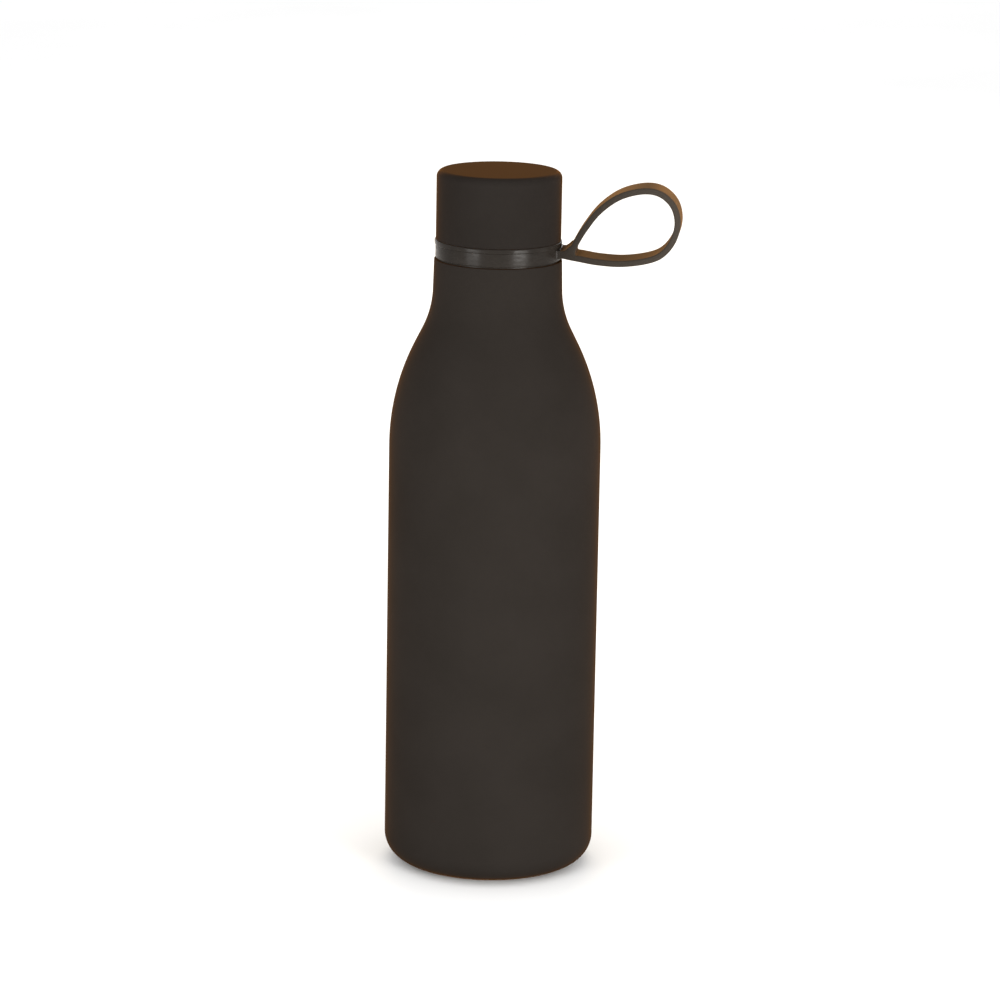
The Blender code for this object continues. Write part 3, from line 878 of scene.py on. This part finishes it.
# ---------------------------------------------------------------- hidden CAD nodes that stay
def dress_inner_nodes():
    looks = {
        "heat_shield_foil": crinkled_foil("copper_foil"),
        "getter_holder": HOLDER_STEEL,
        "getter_pellet": sintered("getter_metal", (0.09, 0.09, 0.10), (0.16, 0.16, 0.17), 0.6, 0.7),
        "vacuum_seal_bead": sintered("seal_glass", (0.24, 0.18, 0.11), (0.36, 0.29, 0.20), 0.0, 0.25),
        "cap_foam": closed_cell_foam("cap_foam_cells"),
    }
    for node, material in looks.items():
        for slot in frame["nodes"][node].material_slots:
            slot.material = material


# ---------------------------------------------------------------- stage, lights and camera
def pale_floor_material():
    nodes = Nodes("pale_floor")
    cloud = nodes.between(nodes.noise(3.0), 0.0, 1.0)
    nodes.colour(nodes.mixed(cloud, (0.90, 0.90, 0.90), (0.93, 0.93, 0.93)))
    nodes.roughness(nodes.between(nodes.noise(8.0), 0.85, 0.95))
    nodes.set(Specular_IOR_Level=0.1)
    return nodes.material


def build_floor():
    mesh = bpy.data.meshes.new("floor")
    half = FLOOR_HALF_SIDE
    mesh.from_pydata(
        [(-half, -half, 0), (half, -half, 0), (half, half, 0), (-half, half, 0)],
        [],
        [(0, 1, 2, 3)],
    )
    new_piece("floor", mesh, pale_floor_material())


def add_softbox(name, azimuth, height, distance, size, power, colour):
    """Square light that faces the bottle's axis. Azimuth 0 is the camera's side, and grows to the right."""
    turn = math.radians(azimuth)
    aim = Vector((0, 0, min(height, CAP_TOP_Z)))
    place = Vector((math.sin(turn) * distance, -math.cos(turn) * distance, height))
    light = bpy.data.lights.new(name, "AREA")
    light.shape = "RECTANGLE"
    light.size, light.size_y = size
    light.energy = power
    light.color = colour
    lamp = bpy.data.objects.new(name, light)
    lamp.location = place
    lamp.visible_camera = False
    lamp.rotation_euler = (place - aim).to_track_quat("Z", "Y").to_euler()
    bpy.context.scene.collection.objects.link(lamp)


def light_scene():
    """White surroundings, two low softboxes that the glossy ring mirrors, and a warm one behind."""
    world = bpy.data.worlds.new("studio")
    bpy.context.scene.world = world
    world.use_nodes = True
    background = world.node_tree.nodes["Background"]
    background.inputs["Color"].default_value = (1.0, 1.0, 1.0, 1.0)
    background.inputs["Strength"].default_value = WORLD_STRENGTH
    add_softbox("left_softbox", -46, 0.135, 0.8, (0.31, 0.24), 3.9, (1.0, 0.98, 0.95))
    add_softbox("right_softbox", 40, 0.135, 0.8, (0.33, 0.24), 6.1, (1.0, 0.98, 0.95))
    add_softbox("rear_softbox", 180, 1.1, 1.4, (1.0, 0.6), 9.0, (1.0, 0.84, 0.62))


def add_camera():
    """Camera in front of the bottle, looking slightly down on it, with a small roll."""
    pitch = math.radians(CAMERA_PITCH)
    yaw = math.radians(CAMERA_YAW)
    roll = math.radians(CAMERA_ROLL)
    ahead = Vector((math.sin(yaw) * math.cos(pitch), math.cos(yaw) * math.cos(pitch), -math.sin(pitch)))
    level = Vector((math.cos(yaw), -math.sin(yaw), 0))
    above = level.cross(ahead)
    right = level * math.cos(roll) + above * math.sin(roll)
    up = above * math.cos(roll) - level * math.sin(roll)
    camera = bpy.data.objects.new("camera", bpy.data.cameras.new("camera"))
    camera.data.sensor_width = SENSOR_WIDTH
    camera.data.lens = LENS
    camera.data.clip_end = CLIP_END
    camera.matrix_world = Matrix((right, up, -ahead)).transposed().to_4x4()
    camera.location = CAMERA_PLACE
    bpy.context.scene.collection.objects.link(camera)
    bpy.context.scene.camera = camera
    bpy.context.scene.view_settings.view_transform = "Standard"


add_camera()
light_scene()
build_floor()
build_painted_shell()
build_neck_finish()
build_liner()
build_base_pad()
build_cap_cover()
build_cap_core()
build_gasket()
build_collar()
build_root()
build_strap()
dress_inner_nodes()
